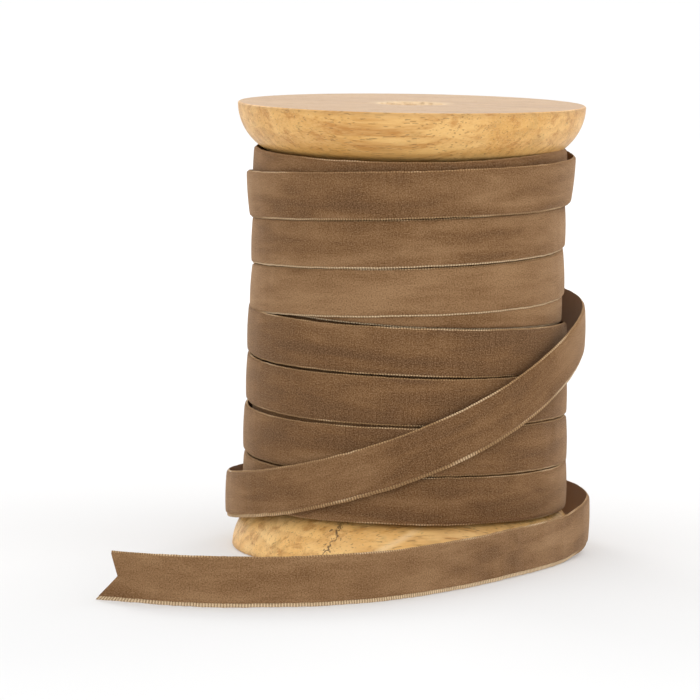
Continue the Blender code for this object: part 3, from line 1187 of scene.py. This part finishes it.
@dataclass
class Flange:
    """One turned flange with a worn rim, a rounded inner edge and a torn bore lip."""

    node: str
    face_up: bool
    wood: TurnedWood
    round_depth: float = 14.0
    round_inset: float = 14.4
    bore: float = 8.0
    recess: float = 24.3
    recess_depth: float = 5.3
    rim_break: float = 0.55
    lip_break: float = 0.9
    flat_radius: float = 33.0
    raw_radius: float = 14.0
    wear_depth: float = 3.0
    steps: int = 288
    radius: float = field(init=False)
    thickness: float = field(init=False)

    def __post_init__(self) -> None:
        """Read the flange's size from its CAD node."""
        low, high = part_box(self.node)
        self.radius = high.x / MM
        self.thickness = (high.z - low.z) / MM

    def profile(self) -> list[tuple[float, float]]:
        """The flange's half section.

        Returns:
            Radius and depth below the outer face of each corner, once round from the bore's lip.
        """
        radius, thickness = self.radius, self.thickness
        floor = thickness - self.recess_depth
        points = [(self.bore, floor * (1 - share)) for share in np.linspace(0.0, 0.86, 7)]
        points += [(self.bore + self.lip_break * (1 - math.cos(a)), self.lip_break * (1 - math.sin(a)))
                   for a in np.linspace(0.1, math.pi / 2, 5)]
        points += [(r, 0.0) for r in np.linspace(self.bore + 1.6, radius - 1.2, 16)]
        points += [(radius - self.rim_break * (1 - math.sin(a)), self.rim_break * (1 - math.cos(a)))
                   for a in np.linspace(0.0, math.pi / 2, 6)]
        for share in np.linspace(0.06, 1.0, 26):
            depth = self.rim_break + (thickness - self.rim_break) * math.sin(share * math.pi / 2)
            across = math.sqrt(1.0 - (depth / self.round_depth) ** 2)
            points.append((radius - self.round_inset * (1.0 - across), depth))
        points += [(r, thickness) for r in np.linspace(self.flat_radius, self.recess, 4)]
        points += [(self.recess, floor)]
        points += [(r, floor) for r in np.linspace(self.recess - 3.0, self.bore + 2.0, 4)]
        return points

    def wear(self, radius: float, depth: float, angle: float) -> tuple[float, float]:
        """How far the turned surface strays from its true profile.

        Args:
            radius: True radius.
            depth: True depth below the outer face.
            angle: Angle round the axis.

        Returns:
            Shifts of the radius and of the depth.
        """
        seed = 3.0 if self.face_up else 7.0
        here = Vector((math.cos(angle) * radius, math.sin(angle) * radius, depth + seed * 9.0))
        slow, fast = noise.noise(here * 0.06), noise.noise(here * 0.55)
        rim = math.exp(-((radius - self.radius) / 0.7) ** 2 - (depth / 1.1) ** 2)
        lip = math.exp(-((radius - self.bore) / 1.1) ** 2 - (depth / 2.2) ** 2)
        torn = 0.50 * noise.noise(here * 0.9) + 0.35 * fast
        outward = -0.07 * rim * max(0.0, fast + 0.35) + lip * torn + 0.03 * slow
        inward = 0.05 * rim * max(0.0, fast) + lip * (0.25 + 0.6 * max(0.0, noise.noise(here * 1.3)))
        return outward, inward if depth < self.wear_depth else 0.0

    def state(self, radius: float, depth: float) -> tuple[float, float, float]:
        """How raw and grimy the wood is, and where its painted reflection lies.

        Args:
            radius: True radius.
            depth: True depth below the outer face.

        Returns:
            The three shares, 0 to 1: raw in the bore, grimy along the rim, painted reflection on the flat
                face.
        """
        near_bore = math.exp(-((radius - self.bore) / 1.6) ** 2) if depth < 4.0 else 1.0
        off_rim = abs(radius - self.radius) + abs(depth - 0.35)
        grimy = max(0.0, 1.0 - off_rim / 0.45) * 0.75
        # The third share marks the flat outer face, which takes a painted reflection.
        return near_bore if radius < self.raw_radius else 0.0, grimy, 1.0 if depth < 0.02 else 0.0

    def build(self) -> bpy.types.Object:
        """Make the flange in place of its CAD node.

        Returns:
            The flange.
        """
        profile = self.profile()
        base = top_of(self.node) if self.face_up else 0.0
        sign = -1.0 if self.face_up else 1.0
        points, states = [], []
        for step in range(self.steps):
            angle = math.tau * step / self.steps
            for radius, depth in profile:
                outward, inward = self.wear(radius, depth, angle)
                reach = radius + outward
                points.append((reach * math.cos(angle) * MM, reach * math.sin(angle) * MM,
                               (base + sign * (depth + inward)) * MM))
                states.append(self.state(radius, depth))
        corners = len(profile)
        faces = []
        for step in range(self.steps):
            near, far = step * corners, (step + 1) % self.steps * corners
            for corner in range(corners):
                after = (corner + 1) % corners
                faces.append((near + corner, near + after, far + after, far + corner))
        mesh = bpy.data.meshes.new(self.node + "_wood")
        mesh.from_pydata(points, [], faces)
        for name, values in zip(("raw", "grime", "painted_top_reflection"), zip(*states)):
            carry(mesh, name, values)
        tidy_normals(mesh, 40.0)
        mesh.materials.append(self.wood.build())
        piece = link_object(self.node + "_wood", mesh)
        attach(piece, Body.SPOOL.value)
        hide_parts(self.node)
        return piece


@dataclass
class WoodenSpool:
    """The two flanges and the barrel between them."""

    top_wood: TurnedWood = TurnedWood("top_flange_wood")
    # Painted light: the bottom flange's pale and body colours are lifted above the top's, standing in for
    # the light it gets from the floor and the front lamp.
    bottom_wood_painted_lighter: TurnedWood = TurnedWood(
        "bottom_flange_wood", pale=(0.92, 0.60, 0.24), body=(0.84, 0.48, 0.145), turn=-9.0,
        shift=(-40.0, 25.0, 12.0), heart_below=45.0, spalted=True)
    barrel_wood: TurnedWood = TurnedWood("barrel_wood", turn=0.0, shift=(5.0, 60.0, 0.0), roughness=0.62)

    def build(self) -> list[bpy.types.Object]:
        """Make the flanges and finish the barrel.

        Returns:
            The two flanges and the barrel.
        """
        top = Flange("top_flange", True, self.top_wood).build()
        bottom = Flange("bottom_flange", False, self.bottom_wood_painted_lighter).build()
        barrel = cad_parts["core"]
        barrel.data.materials.clear()
        barrel.data.materials.append(self.barrel_wood.build())
        return [top, bottom, barrel]


# ---- the studio ---------------------------------------------------------------------------------


@dataclass(frozen=True)
class Softbox:
    """One soft square lamp that looks at the spool's middle."""

    name: str
    place: Triple
    side: float
    watts: float
    colour: Colour = (1.0, 1.0, 1.0)

    def build(self, target: Vector) -> None:
        """Hang the lamp.

        Args:
            target: What the lamp looks at.
        """
        lamp = bpy.data.lights.new(self.name, "AREA")
        lamp.shape = "SQUARE"
        lamp.size = self.side
        lamp.energy = self.watts
        lamp.color = self.colour
        item = bpy.data.objects.new(self.name, lamp)
        item.location = self.place
        item.rotation_euler = (target - item.location).to_track_quat("-Z", "Y").to_euler()
        bpy.context.collection.objects.link(item)


@dataclass
class Studio:
    """A long-lens camera a little above the spool, white paper and soft light."""

    distance: float = 1.150
    elevation: float = 6.03
    roll: float = 0.96
    pan: float = 0.745
    tilt: float = -0.319
    lens: float = 230.2
    target_height: float = 0.05735
    floor_side: float = 60.0
    floor_drop: float = 0.0001
    sky: float = 0.98
    lamps: tuple[Softbox, ...] = (
        Softbox("top_softbox", (0.05, -0.15, 1.15), 1.1, 0.7),
        Softbox("left_softbox", (-1.05, -0.75, 0.55), 0.8, 0.9),
        Softbox("right_softbox", (1.05, -0.45, 0.55), 0.8, 2.0),
        Softbox("front_softbox", (0.15, -1.25, 0.45), 0.9, 1.6),
        Softbox("back_left_softbox", (-0.6, 1.0, 0.75), 0.5, 3.2),
        Softbox("back_right_softbox", (0.55, 1.0, 0.75), 0.5, 2.6),
    )

    def build_camera(self) -> None:
        """Set up the camera and make it the scene's."""
        target = Vector((0.0, 0.0, self.target_height))
        tip = math.radians(self.elevation)
        camera = bpy.data.objects.new("camera", bpy.data.cameras.new("camera"))
        camera.data.lens = self.lens
        camera.data.sensor_width = 36.0
        camera.data.clip_end = 100.0
        back = Vector((0.0, -math.cos(tip), math.sin(tip)))
        camera.location = target + back * self.distance
        aim = (-back).to_track_quat("-Z", "Y")
        for turn in ((0.0, 0.0, self.roll), (0.0, self.pan, 0.0), (self.tilt, 0.0, 0.0)):
            aim = aim @ Euler([math.radians(angle) for angle in turn]).to_quaternion()
        camera.rotation_mode = "QUATERNION"
        camera.rotation_quaternion = aim
        bpy.context.collection.objects.link(camera)
        bpy.context.scene.camera = camera

    def build(self) -> None:
        """Lay the floor, hang the lamps and light the sky."""
        half = self.floor_side / 2
        mesh = bpy.data.meshes.new("floor")
        corners = [(-half, -half, 0.0), (half, -half, 0.0), (half, half, 0.0), (-half, half, 0.0)]
        mesh.from_pydata(corners, [], [(0, 1, 2, 3)])
        mesh.transform(Matrix.Translation((0.0, 0.0, -self.floor_drop)))
        mesh.materials.append(StudioFloor().build())
        link_object("floor", mesh)
        for lamp in self.lamps:
            lamp.build(Vector((0.0, 0.0, self.target_height)))
        world = bpy.data.worlds.new("studio_sky")
        world.use_nodes = True
        background = world.node_tree.nodes["Background"]
        background.inputs["Color"].default_value = (1.0, 1.0, 1.0, 1.0)
        background.inputs["Strength"].default_value = self.sky
        bpy.context.scene.world = world
        bpy.context.scene.view_settings.view_transform = "Standard"


def main() -> None:
    """Build the studio, the ribbon and the spool in order, and report each piece."""
    logging.basicConfig(level=logging.INFO, format="%(message)s")
    studio = Studio()
    studio.build_camera()
    ribbon = Ribbon(RibbonLine(spool_height=top_of("top_flange")))
    pieces = [*ribbon.build(), *WoodenSpool().build()]
    studio.build()
    for piece in pieces:
        log.info("%s: %d corners", piece.name, len(piece.data.vertices))


if __name__ == "__main__":
    main()
